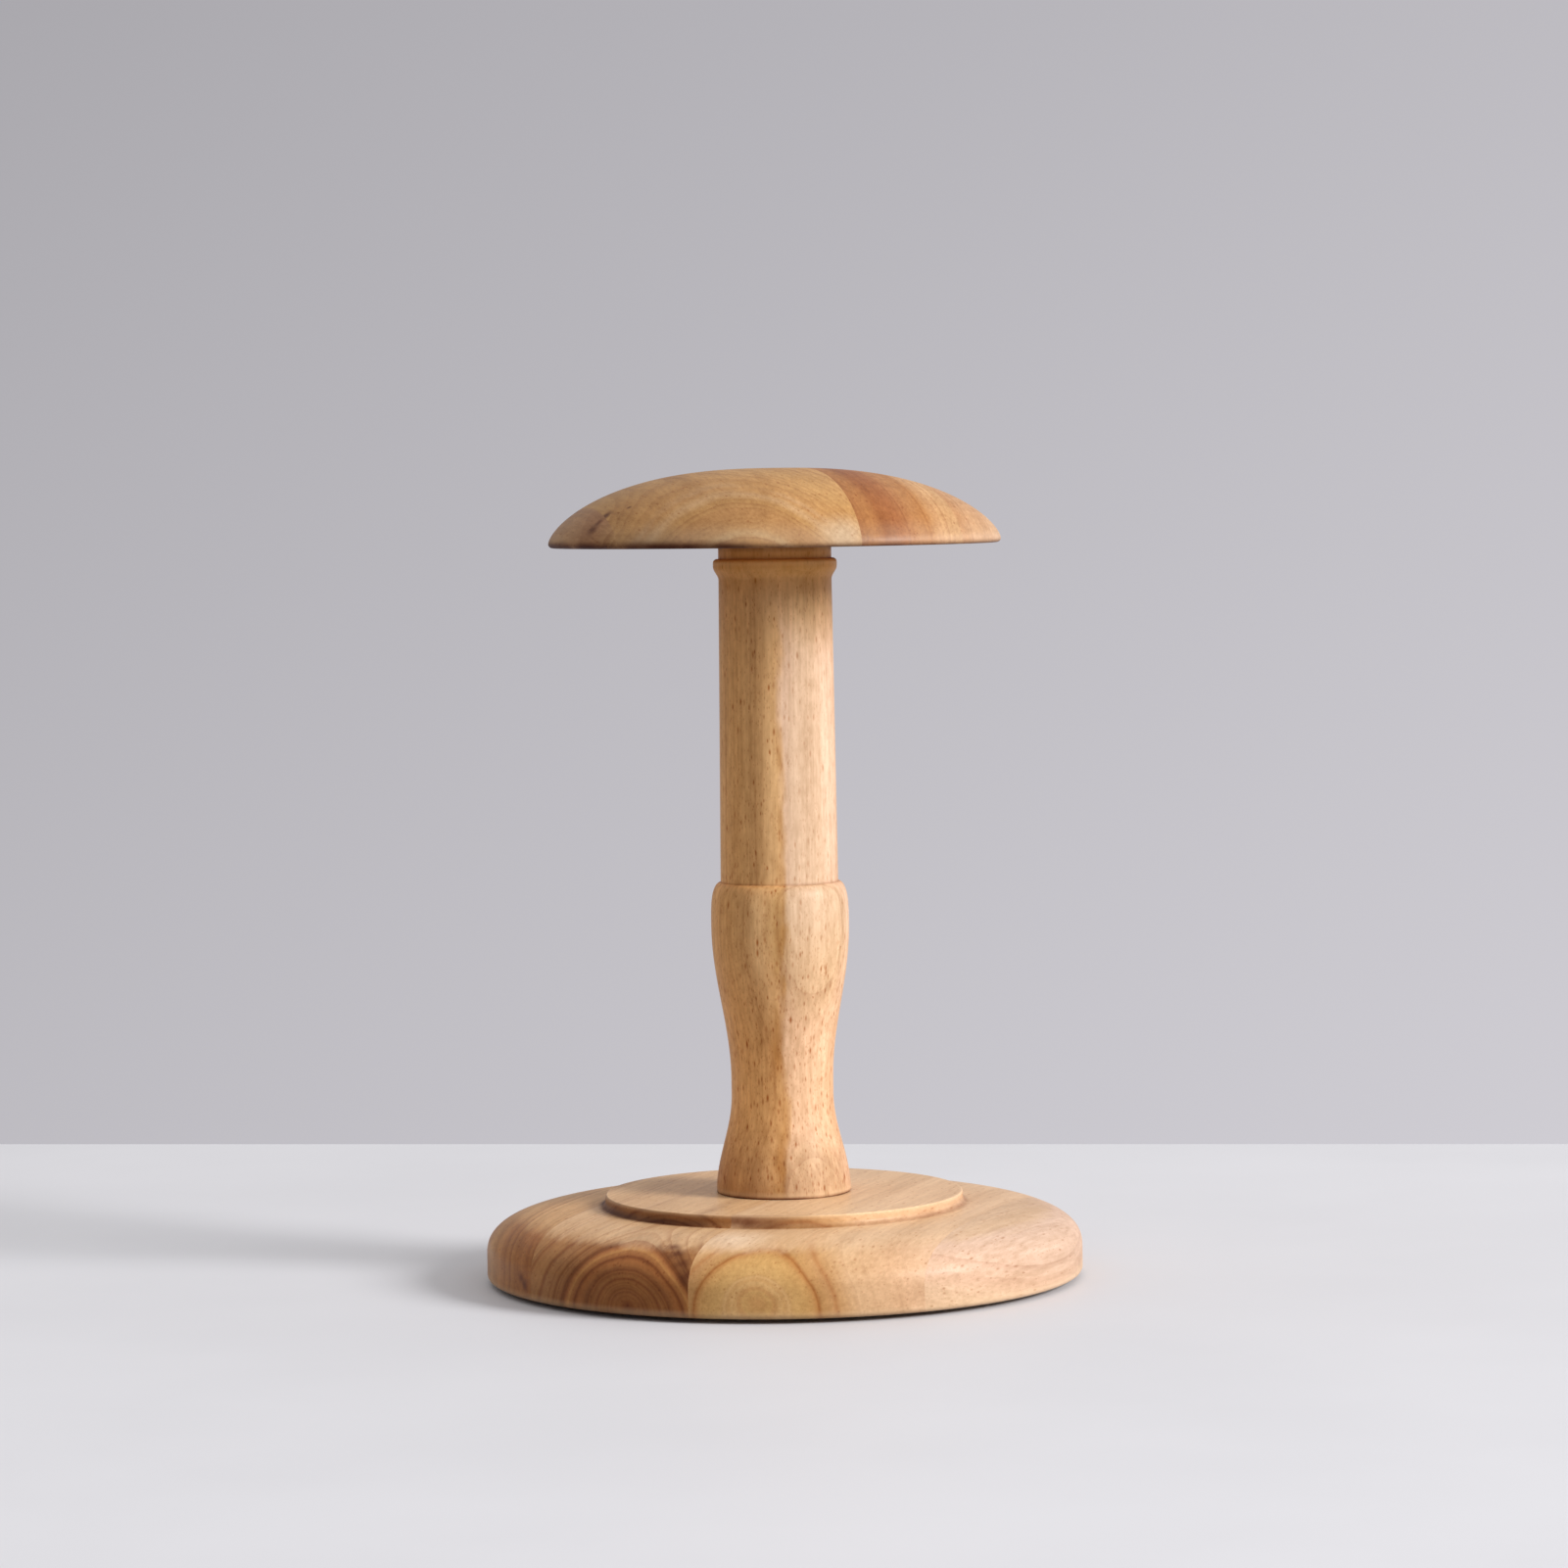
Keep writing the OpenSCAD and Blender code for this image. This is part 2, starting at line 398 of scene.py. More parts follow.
# %% Wood figure group
wood_figure, given, made = new_group(
    "Wood figure",
    {"Vector": VECTOR, "Colour": COLOUR, "Ring": NUMBER, "Ring Depth": NUMBER, "Streak": NUMBER,
     "Pores": NUMBER, "Crowd": NUMBER, "Mottle": NUMBER, "End Grain": NUMBER, "Seed": NUMBER},
    {"Color": COLOUR, "Roughness": NUMBER, "Height": NUMBER})
tree = wood_figure
point = vector_calc(tree, "MULTIPLY", given["Vector"], to_mm)
long_point = along_grain(tree, point, 0.03)
cloud_point = along_grain(tree, point, 0.35)
mottle = swing(tree, cloud_point, given["Seed"], scale=0.7, detail=2.0)
fibre = swing(tree, long_point, given["Seed"], scale=1.0, detail=4.0)
broad = swing(tree, long_point, given["Seed"], scale=0.2, detail=2.0)
patch = swing(tree, cloud_point, given["Seed"], scale=0.05, detail=3.0)

# %% Pores
gather_swing = 2.4
gather_middle = 0.55
gather = swing(tree, cloud_point, given["Seed"], scale=0.16, detail=2.0)
gather = times_plus(tree, gather, gather_swing, gather_middle)
gather = calc(tree, "ADD", gather, given["Crowd"])
lot_shift = vector_calc(tree, "MULTIPLY", given["Seed"], (13.7, 57.3, 31.1))


def pore_mask(cells, stretch, least, spread, present):
    """Spots in the cells of a stretched Voronoi texture, each with its own size; some cells stay empty."""
    cell_point = vector_calc(tree, "ADD", along_grain(tree, point, stretch), lot_shift)
    cell = feed_named(tree, add_node(tree, "ShaderNodeTexVoronoi"), Vector=cell_point, Scale=cells)
    lots = add_node(tree, "ShaderNodeSeparateColor", (cell["Color"],)).outputs
    reach = times_plus(tree, lots[0], spread, least)
    spot = ease(tree, cell["Distance"], reach, times(tree, reach, 0.1))
    chosen = calc(tree, "LESS_THAN", lots[1], times(tree, gather, present))
    chosen = times(tree, chosen, times_plus(tree, lots[2], 0.6, 0.4))
    return times(tree, spot, chosen)


small_pore_share = 0.55
large_pores = pore_mask(cells=0.75, stretch=0.32, least=0.18, spread=0.32, present=0.85)
small_pores = pore_mask(cells=1.4, stretch=0.45, least=0.22, spread=0.3, present=1.6)
pale_flecks = pore_mask(cells=0.9, stretch=0.12, least=0.2, spread=0.3, present=0.9)
pores = larger(tree, large_pores, times(tree, small_pores, small_pore_share))
pores = times(tree, pores, given["Pores"])

# %% Tint of the figure
ring_tone = tone("B07A50")
end_tone = tone("E0BE98")
pore_tone = tone("BE8850")
end_share = 0.25
fleck_lift = 0.16
lift = times_plus(tree, broad, 1.1, times(tree, fibre, 1.2))
lift = times_plus(tree, mottle, given["Mottle"], lift)
lift = calc(tree, "ADD", lift, patch)
lift = times(tree, lift, given["Streak"])
flecked = times(tree, given["Streak"], fleck_lift)
lift = times_plus(tree, pale_flecks, flecked, lift)
warm_lift = vector_calc(tree, "MULTIPLY", lift, (0.8, 1.0, 1.25))
warm_lift = vector_calc(tree, "ADD", warm_lift, (1, 1, 1))
colour = vector_calc(tree, "MULTIPLY", given["Colour"], warm_lift)
ring_share = times(tree, given["Ring"], given["Ring Depth"])
colour = mix(tree, ring_share, colour, ring_tone, "MULTIPLY")
cut_share = times(tree, given["End Grain"], end_share)
colour = mix(tree, cut_share, colour, end_tone, "MULTIPLY")
colour = mix(tree, pores, colour, pore_tone, "MULTIPLY")
feed(tree, [made["Color"]], [colour])

# %% Roughness and height of the figure
satin = 0.54
rough = times_plus(tree, fibre, 0.25, satin)
rough = times_plus(tree, pores, 0.25, rough)
rough = times_plus(tree, given["End Grain"], 0.08, rough)
height = times_plus(tree, pores, -0.3, times(tree, fibre, 0.35))
feed(tree, [made["Roughness"], made["Height"]], [rough, height])
print("figure nodes:", len(wood_figure.nodes))

# %% [markdown]
# ## Painted edge light, painted crease shade and knots
# On a turned piece every edge and every crease is a circle round the axis. A lit edge gets a painted
# highlight, and a crease gets painted shade, where the lacquer is also made duller. One group finds how near
# a point is to such a circle. A second one marks a spot: a small dark one is a knot, where a twig grew, and a
# large pale one is a patch.

# %% Turned circle group
turned_circle, given, made = new_group(
    "Turned circle",
    {"Vector": VECTOR, "Radius": NUMBER, "Height": NUMBER, "Width": NUMBER}, {"Mask": NUMBER})
tree = turned_circle
axis_distance = measure(tree, "LENGTH", vector_calc(tree, "MULTIPLY", given["Vector"], (1, 1, 0)))
aside = calc(tree, "SUBTRACT", axis_distance, given["Radius"])
above = calc(tree, "SUBTRACT", split(tree, given["Vector"])[2], given["Height"])
above_squared = times(tree, above, above)
away = calc(tree, "SQRT", times_plus(tree, aside, aside, above_squared))
ragged = noise(tree, given["Vector"], seed=0.0, scale=90.0, detail=3.0)[0]
near = ease(tree, away, given["Width"], 0.0)
near = times(tree, near, ease(tree, ragged, 0.0, 0.6))
feed(tree, [made["Mask"]], [near])


def circle_mask(tree, spot, radius, level, width):
    """How near a spot is to a circle round the axis: 1 on it, and 0 from its width on."""
    return add_group(tree, turned_circle, Vector=spot, Radius=radius, Height=level, Width=width)["Mask"]


# %% Knot spot group
knot_spot, given, made = new_group(
    "Knot spot",
    {"Vector": VECTOR, "Place": VECTOR, "Size": NUMBER, "Raggedness": NUMBER}, {"Mask": NUMBER})
tree = knot_spot
away = measure(tree, "LENGTH", vector_calc(tree, "SUBTRACT", given["Vector"], given["Place"]))
ragged = swing(tree, given["Vector"], seed=4.0, scale=500.0, detail=2.0)
ragged_size = times(tree, given["Size"], given["Raggedness"])
away = times_plus(tree, ragged, ragged_size, away)
feed(tree, [made["Mask"]], [ease(tree, away, given["Size"], 0.0)])


def spot_mask(tree, spot, x, y, z, size, raggedness):
    """How near a spot is to a knot or patch, whose place and size are in millimetres."""
    found = add_group(tree, knot_spot, Vector=spot, Place=(x * MM, y * MM, z * MM), Size=size * MM,
                      Raggedness=raggedness)
    return found["Mask"]


# %% Painted highlights, sheens, shade and knots
EDGE_HIGHLIGHT_TONE = "F2D2A8"
EDGE_HIGHLIGHT_SHARE = 0.35
CREASE_SHADE_TONE = "7C4420"
KNOT_TONE = "8A5632"
KNOT_SHARE = 0.75
KNOT_RAGGEDNESS = 0.4


def paint_light_and_knots(tree, colour, spot, lit_edges, light_tints, creases, knots):
    """Paints highlights on lit edges, tints of light such as sheens and shade in creases, and darkens knots:
    the colour, and how dull the lacquer is. A crease's shade may end with two places across the piece, from
    which it starts and where it is full."""
    light_bands = [(*edge, EDGE_HIGHLIGHT_SHARE, EDGE_HIGHLIGHT_TONE) for edge in lit_edges] + list(light_tints)
    for radius, level, width, share, light_tone in light_bands:
        light_band = times(tree, circle_mask(tree, spot, radius, level, width), share)
        colour = mix(tree, light_band, colour, tone(light_tone))
    dull = 0.0
    for radius, level, width, depth, *reach in creases:
        crease_shade = times(tree, circle_mask(tree, spot, radius, level, width), depth)
        if reach:
            crease_shade = times(tree, crease_shade, ease(tree, split(tree, spot)[0], *reach))
        colour = mix(tree, crease_shade, colour, tone(CREASE_SHADE_TONE), "MULTIPLY")
        dull = larger(tree, dull, crease_shade)
    for knot in knots:
        dark = times(tree, spot_mask(tree, spot, *knot, KNOT_RAGGEDNESS), KNOT_SHARE)
        colour = mix(tree, dark, colour, tone(KNOT_TONE), "MULTIPLY")
    return colour, dull


# %% [markdown]
# ## Colours of a board
# Rings are a list of radius and colour. Faces that look up are painted paler, a painted sheen together
# with the paler long grain, so their rings are only faint streaks, and the border of this paler tone frays
# along the fibres.

# %% Ring colours and the painted sheen on tops
TOP_SHEEN_FROM = 0.91
TOP_SHEEN_TO = 1.0
TOP_SHEEN_FRAY = 0.1


def ring_colours(tree, radius, rings):
    """The colour at a radius, from a list of radii and colours."""
    first, last = rings[0][0], rings[-1][0]
    share = add_node(tree, "ShaderNodeMapRange", (radius, first, last)).outputs[0]
    ramp = add_node(tree, "ShaderNodeValToRGB", (share,))
    stops = ramp.color_ramp.elements
    stops[0].color = tone(rings[0][1])
    stops[1].color = tone(rings[-1][1])
    for ring_radius, ring_colour in rings[1:-1]:
        stops.new((ring_radius - first) / (last - first)).color = tone(ring_colour)
    return ramp.outputs[0]


def sheen_on_tops(tree, colour, normal, board, seed, sheen_tone, sheen_share):
    """Pales the colour of faces that look up: a painted sheen with the paler long grain."""
    fray = swing(tree, along_grain(tree, board, 0.06), seed + 40, scale=330.0, detail=3.0)
    upward = times_plus(tree, fray, TOP_SHEEN_FRAY, split(tree, normal)[2])
    top_sheen = times(tree, ease(tree, upward, TOP_SHEEN_FROM, TOP_SHEEN_TO), sheen_share)
    return mix(tree, top_sheen, colour, tone(sheen_tone))


# %% [markdown]
# ## A stained heart
# The heart of a trunk may darken one side of a piece. The border of the stain sways along the grain, and on
# its stained side pores crowd in a broken golden line. Near the top the same tint is put all round as
# painted shade from the head above. Over another stretch of height, the low one, the stain is faint on the
# far side, the line widens and speckles thicken.

# %% Heart stain
BORDER_SWAY = 2.4
LINE_TONE = "D8C4A0"
LINE_WIDTH = 3 * MM
LOW_LINE_WIDENS = 4 * MM
LINE_FROM = -1.6 * MM
LINE_FULL = 0.6 * MM
LINE_CROWD = 0.8
LOW_CROWD = 0.6
LOW_STAIN = 0.3
CLEAN_PORES = 0.55


def heart_stain_and_head_shade(tree, colour, pores, board, spot, seed, border, soft, stain_and_shade_tone, head_shade_z, low_z):
    """Stains what lies left of a border and paints the head's shade all round near the top: the colour, how
    strong the pores are and where they crowd.
    """
    sideways, _, height = split(tree, spot)
    sway = swing(tree, along_grain(tree, board, 0.3), seed, scale=90.0, detail=4.0)
    across = times_plus(tree, sway, BORDER_SWAY * soft, sideways)
    low = ease(tree, height, *low_z)
    # Painted shade of the head above, all round near the top of the post.
    head_shade = ease(tree, height, *head_shade_z)
    stain_and_shade_share = larger(tree, ease(tree, across, border + soft / 2, border - soft / 2), head_shade)
    stain_and_shade_share = larger(tree, stain_and_shade_share, times(tree, low, LOW_STAIN))
    colour = mix(tree, stain_and_shade_share, colour, tone(stain_and_shade_tone), "MULTIPLY")
    speckles = times_plus(tree, larger(tree, stain_and_shade_share, low), 1 - CLEAN_PORES, CLEAN_PORES)
    inside = calc(tree, "SUBTRACT", border, across)
    inner_side = ease(tree, inside, LINE_FROM, LINE_FULL)
    near = ease(tree, inside, times_plus(tree, low, LOW_LINE_WIDENS, LINE_WIDTH), 0.0)
    crowd = times(tree, near, times(tree, inner_side, LINE_CROWD))
    crowd = larger(tree, crowd, times(tree, low, LOW_CROWD))
    broken = noise(tree, along_grain(tree, board, 0.5), seed + 30, scale=110.0, detail=2.0)[0]
    line = times(tree, near, ease(tree, broken, 0.36, 0.66))
    line = times(tree, line, calc(tree, "SUBTRACT", inner_side, head_shade))
    colour = mix(tree, larger(tree, line, 0.0), colour, tone(LINE_TONE), "MULTIPLY")
    return colour, times(tree, speckles, pores), crowd


# %% [markdown]
# ## One wood, many boards
# Every board has the same recipe and its own trunk: where the pith lies, which way the grain runs, and the
# colours of its rings. A board may have a ground colour that its rings show through in places, painted
# shade that darkens it towards its left, and pale patches, of which one is a painted sheen. The thin satin
# lacquer hardly shows from straight on, but a face that is seen along its length takes on the pale of what
# stands behind it.

# %% Wood recipe
PATCH_RAGGEDNESS = 0.2
WOOD_BUMP = 0.35
WOOD_DEPTH = 0.2 * MM


def wood(name, pith, turn, rings, seed, coat, creases, ring_width=3.0, wander=2.0, ring_depth=0.4, streak=0.5,
         pores=0.6, mottle=0.8, lean=(0, 0, 0), ground=None, top_sheen=None, left_shade=None, patches_and_sheens=(), stain_and_head_shade=None,
         lit_edges=(), light_tints=(), knots=()):
    """A lacquered wood. Pith is a point and turn the grain frame's turn, both in the object's space."""
    material, tree, shader, place = new_material(name)
    spot = place["Object"]
    board = add_node(tree, "ShaderNodeMapping", (spot, pith, turn), vector_type="TEXTURE").outputs[0]
    facing = add_node(tree, "ShaderNodeMapping", vector_type="TEXTURE")
    facing = feed_named(tree, facing, Vector=place["Normal"], Rotation=turn)[0]
    grown = add_group(tree, growth_rings, Vector=board, Lean=lean, Ring_Width=ring_width, Wander=wander,
                      Seed=seed)
    colour = ring_colours(tree, grown["Radius"], rings)
    crowd = 0.0
    if ground:
        showing = ease(tree, noise(tree, board, seed + 20, scale=45.0, detail=2.0)[0], 0.26, 0.56)
        colour = mix(tree, showing, tone(ground), colour)
    if top_sheen:
        colour = sheen_on_tops(tree, colour, place["Normal"], board, seed, *top_sheen)
    # Painted shade: darker towards the left, where less light falls.
    if left_shade:
        lit_x, shaded_x, shade_tone = left_shade
        shaded = ease(tree, split(tree, spot)[0], lit_x, shaded_x)
        colour = mix(tree, shaded, colour, tone(shade_tone), "MULTIPLY")
    # Pale spots: real patches in the wood, and painted sheens.
    for *patch_place, patch_tone in patches_and_sheens:
        colour = mix(tree, spot_mask(tree, spot, *patch_place, PATCH_RAGGEDNESS), colour, tone(patch_tone))
    if stain_and_head_shade:
        colour, pores, crowd = heart_stain_and_head_shade(tree, colour, pores, board, spot, seed, **stain_and_head_shade)
    figure = add_group(tree, wood_figure, Vector=board, Colour=colour, Ring=grown["Ring"],
                       Ring_Depth=ring_depth, Streak=streak, Pores=pores, Crowd=crowd, Mottle=mottle,
                       Seed=seed, End_Grain=calc(tree, "ABSOLUTE", split(tree, facing)[1]))
    colour, dull = paint_light_and_knots(tree, figure["Color"], spot, lit_edges, light_tints, creases, knots)
    feed_named(tree, shader, Base_Color=colour, Roughness=figure["Roughness"],
               Normal=bump_normal(tree, WOOD_BUMP, WOOD_DEPTH, figure["Height"]),
               Coat_Weight=times_plus(tree, dull, -coat, coat),
               Specular_IOR_Level=0.15, Coat_Roughness=0.3, Coat_IOR=1.25)
    print("wood:", name, "with", len(rings), "ring colours")
    return material


def board_pith(across, height, turn):
    """Where a lying board's pith is, from its place across the boards and its height in millimetres."""
    return (across * MM * cos(turn), -across * MM * sin(turn), height * MM)


# %% [markdown]
# ## The base
# The base is one glued blank: flat below, with a rolled shoulder and a raised step that the post stands on.
# It could be four separate lathe shapes, but the real one was glued first and turned after, so the blank is
# spun whole and then sawn along its glue lines. Each board then meets its neighbour without a gap.

# %% Turn the base blank
step_r = 60 * MM
step_h = 4 * MM
step_cove = 2 * MM
step_edge = 0.6 * MM
shoulder_h = 15 * MM
shoulder_power = 2.5
base_edge = 2 * MM
fit_gap = 0.05 * MM
bore_spare = 1.5 * MM
base_top = step_z - step_h
root_r = step_r + step_cove
insert_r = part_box("base_insert")[1].x
bore_r = insert_r + fit_gap
base_bore_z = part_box("base_insert")[0].z - bore_spare
base_outline = [
    (0, base_z),
    *round_edge((base_r - base_edge, base_z + base_edge), base_edge, -90, 0),
    *rolled_quarter((root_r, base_top - shoulder_h), base_r - root_r, shoulder_h, shoulder_power,
                    shoulder_power),
    *round_edge((root_r, base_top + step_cove), step_cove, 270, 180),
    *round_edge((step_r - step_edge, step_z - step_edge), step_edge, 0, 90),
    (bore_r, step_z), (bore_r, base_bore_z), (0, base_bore_z)]
print("base outline points:", len(base_outline))


# %% Saw a blank into boards
def saw(outline, turn, low, high):
    """Turns a blank and keeps what lies between two glue lines, closing the sawn faces. None is no line."""
    shape = lathe(outline)
    across = Vector((cos(turn), -sin(turn), 0))
    for line, side in ((low, -1), (high, 1)):
        if line is not None:
            rim = cut_away(shape, across * line, across * side)
            bmesh.ops.triangle_fill(shape, edges=rim, use_beauty=True)
    return shape


def make_boards(outline, turn, lines, woods, part):
    """Saws a blank into one board for each wood, from left to right."""
    for number, board_wood in enumerate(woods, start=1):
        make_piece(saw(outline, turn, lines[number - 1], lines[number]), f"wood_{part}_board_{number}",
                   f"{part}_board_{number}", board_wood)


# %% [markdown]
# ## The woods of the base
# Four boards lie side by side, turned a little from the depth axis. The second holds the trunk's brown
# heart, which shows as a dark half disc of rings on the front of the rim. The third is golden, with its own
# pith just under it. The outer two are streaked brown and pale pink. The step's wall and root have painted
# shade, darkest on the left, and the step's edge and the bottom edge a painted highlight.

# %% Base finish
base_turn = radians(20)
base_lines = [None, -58.5 * MM, 3.5 * MM, 72.5 * MM, None]
base_grain = (0, 0, -base_turn)
# Painted shade at the step's root and on the left and golden walls; painted highlights on the edges.
root_crease = (root_r - 1 * MM, base_top + 0.6 * MM)
base_creases = [(*root_crease, 2 * MM, 0.5)]
left_wall_shade = [(*root_crease, 2.4 * MM, 0.7, -14 * MM, -34 * MM),
             (step_r, base_top + 2.2 * MM, 2.6 * MM, 0.4, -8 * MM, -30 * MM)]
golden_wall_shade = [(step_r, base_top + 2 * MM, 4.4 * MM, 0.95, 20 * MM, -20 * MM)]
base_finish = {
    "coat": 0.45,
    "lit_edges": [(step_r, step_z, 1.6 * MM), (base_r - 1 * MM, base_z + 1 * MM, 2.5 * MM)]}
print("base glue lines:", len(base_lines) - 2)

# %% Left woods of the base
streaked_board = wood(
    "Streaked brown board", board_pith(-140, 5, base_turn), base_grain,
    [(40, "C7945D"), (46, "C99761"), (52, "BF8954"), (56, "C69259"), (60, "B47D46"), (63, "BD844D"),
     (66, "AB713E"), (70, "B27A43"), (73.5, "A36935"), (76, "AE7440"), (79, "9F6433"), (81.5, "A76D39")],
    seed=1.0, wander=3.0, ring_depth=0.6, top_sheen=("E4B982", 0.62),
    creases=base_creases + left_wall_shade, knots=[(-86.1, -50.9, 8.8, 3), (-85, -52.7, 6.5, 3)], **base_finish)
heart_board = wood(
    "Heartwood board", board_pith(-17.8, 5, base_turn), base_grain,
    [(0, "743E1A"), (1.8, "854E24"), (3.2, "976132"), (6.6, "955F32"), (7.4, "844E24"), (8.4, "996434"),
     (11.2, "976132"), (12, "844C24"), (13, "996536"), (15, "935D2F"), (15.8, "7E4821"), (17, "945F32"),
     (19.2, "A26736"), (20.6, "874E22"), (21.6, "996032"), (23.4, "B88148"), (24.6, "B47944"), (26, "824C21"),
     (26.6, "79451D"), (27.3, "9B6739"), (29, "A57243"), (30, "875226"), (31, "A57243"), (35, "A87648"),
     (36.6, "90582C"), (38, "B3804D"), (42, "B17C49"), (43.4, "9E6536"), (45, "B3804D"), (60, "B68350")],
    seed=2.0, ring_width=2.0, wander=0.8, ring_depth=0.42, streak=0.4, lean=(-0.043, 0, -0.292),
    top_sheen=("ECC699", 0.62), creases=base_creases + left_wall_shade,
    knots=[(-35.6, -80, 22.8, 4), (-34.4, -85.1, 20.9, 4.6), (-32.8, -90.2, 18.5, 4.6),
           (-31.4, -93.6, 15, 4.6)], **base_finish)

# %% Right woods of the base
pale_grain = (0, 0, -radians(27))
# Its pale patch on the front of the shoulder is a painted sheen.
golden_board = wood(
    "Golden board", board_pith(25.8, 7.7, base_turn), base_grain,
    [(0, "C6965E"), (4, "CDA367"), (5, "CA9B62"), (7.6, "D3AA72"), (8.6, "CDA168"), (10, "D2A972"),
     (11, "CDA368"), (14, "CFA568"), (17.6, "CC9E62"), (18.6, "C69156"), (19.4, "A76C37"), (20.6, "C4965F"),
     (23.8, "C89966"), (25, "BC8654"), (26.4, "CEA16E"), (32, "DCB58B"), (45, "D5AC86"), (55, "DAB492")],
    seed=3.0, ring_width=2.8, wander=1.2, ring_depth=0.12, streak=0.4, pores=0.55, lean=(-0.064, 0, -0.227),
    top_sheen=("DEB992", 0.75), patches_and_sheens=[(-15, -77, 23.6, 16, "E6C7A6")], creases=base_creases + golden_wall_shade,
    **base_finish)
pale_board = wood(
    "Pale pink board", board_pith(60, -60, base_turn), pale_grain,
    [(60, "D9B48D"), (72, "DBB896"), (77, "D8B294"), (83, "D4B299"), (88, "D6B7A0"), (110, "D3B39D")],
    seed=4.0, ring_width=4.0, ring_depth=0.25, streak=0.45, top_sheen=("D2AE86", 0.75),
    creases=base_creases, **base_finish)

# %% Base boards
base_woods = [streaked_board, heart_board, golden_board, pale_board]
make_boards(base_outline, base_turn, base_lines, base_woods, "base")

# %% [markdown]
# ## The head
# The head is a low dome with a flat underside, glued from three boards and turned like the base. Its crown
# is flatter than an ellipse and its side runs straighter down to a thin rounded rim.

# %% Turn the head blank
head_h = top_z - head_z
rim_edge = 1.4 * MM
crown_power = 2.5
side_power = 1.5
head_bore_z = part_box("head_insert")[1].z + bore_spare
head_outline = [
    (0, head_bore_z), (bore_r, head_bore_z), (bore_r, head_z),
    *round_edge((head_r - rim_edge, head_z + rim_edge), rim_edge, -90, 0),
    *rolled_quarter((0, head_z + rim_edge), head_r, head_h - rim_edge, crown_power, side_power, steps=48)]
print("head outline points:", len(head_outline))

# %% [markdown]
# ## The woods of the head
# The boards are turned the other way from those of the base. The left two have painted shade that darkens
# them towards the left, and on their rim there too. A painted grey sheen lies low on the right two, and the
# last one's rim has a painted highlight.

# %% Head woods
head_turn = radians(-15.5)
head_lines = [None, -63.9 * MM, 8.4 * MM, None]
head_grain = (0, 0, -head_turn)
head_coat = 0.3
# Painted shade: a dark line under the rim all round, and more of it on the left.
under_creases = [(head_r - rim_edge, head_z, 2.6 * MM, 0.8)]
left_rim_shade = [(head_r, head_z + 0.4 * MM, 3 * MM, 1.0, 5 * MM, -20 * MM)]
left_finish = {
    "coat": head_coat, "left_shade": (5 * MM, -25 * MM, "EDEBE8"), "creases": under_creases + left_rim_shade}
head_sheen = [(head_r, head_z + 2 * MM, 10 * MM, 0.17, "BCB19F")]
rim_highlight = [(head_r, head_z + 2 * MM, 2.4 * MM, 0.2, "E4C2AA")]
tip_board = wood(
    "Brown tip board", board_pith(-57, 243, head_turn), head_grain,
    [(0, "C29867"), (10, "BE9364"), (14.6, "AE7E56"), (17, "B5875E"), (22, "C29A6C"), (40, "BB9364")],
    seed=5.0, streak=0.6, knots=[(-59.1, -42.2, 252.4, 3.8), (-57, -41, 254.8, 2.6)], **left_finish)
tan_board = wood(
    "Tan board", board_pith(-28.5, 227, head_turn), head_grain,
    [(15, "C0935D"), (21.6, "BE915C"), (23.4, "C7A274"), (25.2, "BF925F"), (30, "B78856"), (33.8, "B98C56"),
     (35.8, "C69E71"), (36.8, "C09564"), (37.5, "BC8D5A"), (38.4, "C49A6C"), (39.8, "BE8F5A"),
     (46, "C0935C"), (60, "BE905B"), (80, "BC8F59")],
    seed=6.0, ring_width=1.8, wander=2.5, ring_depth=0.3, ground="BF8F57", light_tints=head_sheen,
    patches_and_sheens=[(22.5, -71, 250, 12, "CCAE8A")],
    knots=[(-54.5, -39.2, 257.1, 3), (-47, -42.8, 259.5, 1.4), (-55.6, -40.2, 256, 3)], **left_finish)
red_board = wood(
    "Red brown board", board_pith(-200, 240, head_turn), head_grain,
    [(208, "9D673B"), (213, "A87140"), (217, "975D32"), (223, "9E6339"), (227, "AA7346"), (230, "B37E4D"),
     (234, "AE7743"), (238, "C99B6B"), (246, "C89D6E"), (247.6, "BE8D61"), (252, "C2956B"), (270, "C69C74")],
    seed=7.0, ring_width=2.4, ring_depth=0.3, streak=0.45, mottle=1.4, creases=under_creases,
    light_tints=head_sheen + rim_highlight, coat=head_coat)

# %% Head boards
make_boards(head_outline, head_turn, head_lines, [tip_board, tan_board, red_board], "head")

# %% [markdown]
# ## The post
# The post is one billet with its grain upright: a flared foot, a waist, a belly with a rounded shoulder, a
# tapered shaft, a bead and a neck. It is sawn near the edge of the trunk's heart, so the left is brown, the
# right is pale, and the border between them runs up the front as a wavy streak.

# %% Turn the post
foot_r = 22.5 * MM
foot_edge = 0.6 * MM
flare_h = 33 * MM
waist_r = 17.1 * MM
waist_h = 5 * MM
swell_h = 52 * MM
belly_r = 23.1 * MM
belly_shoulder_h = 14.5 * MM
belly_power = 3.5
shaft_low_r = 19.7 * MM
shaft_top_r = 18.9 * MM
bead_r = 20.7 * MM
bead_swell_h = 4.5 * MM
bead_band_h = 1.2 * MM
bead_edge = 1.4 * MM
neck_h = 4.4 * MM
bolt_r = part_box("lower_bolt")[1].x
bolt_bore_r = bolt_r + fit_gap
low_bore_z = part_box("lower_bolt")[1].z + fit_gap
high_bore_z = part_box("upper_bolt")[0].z - fit_gap
waist_z = step_z + flare_h
belly_z = waist_z + waist_h + swell_h
belly_top_z = belly_z + belly_shoulder_h
bead_top_z = head_z - neck_h
band_z = bead_top_z - bead_edge - bead_band_h
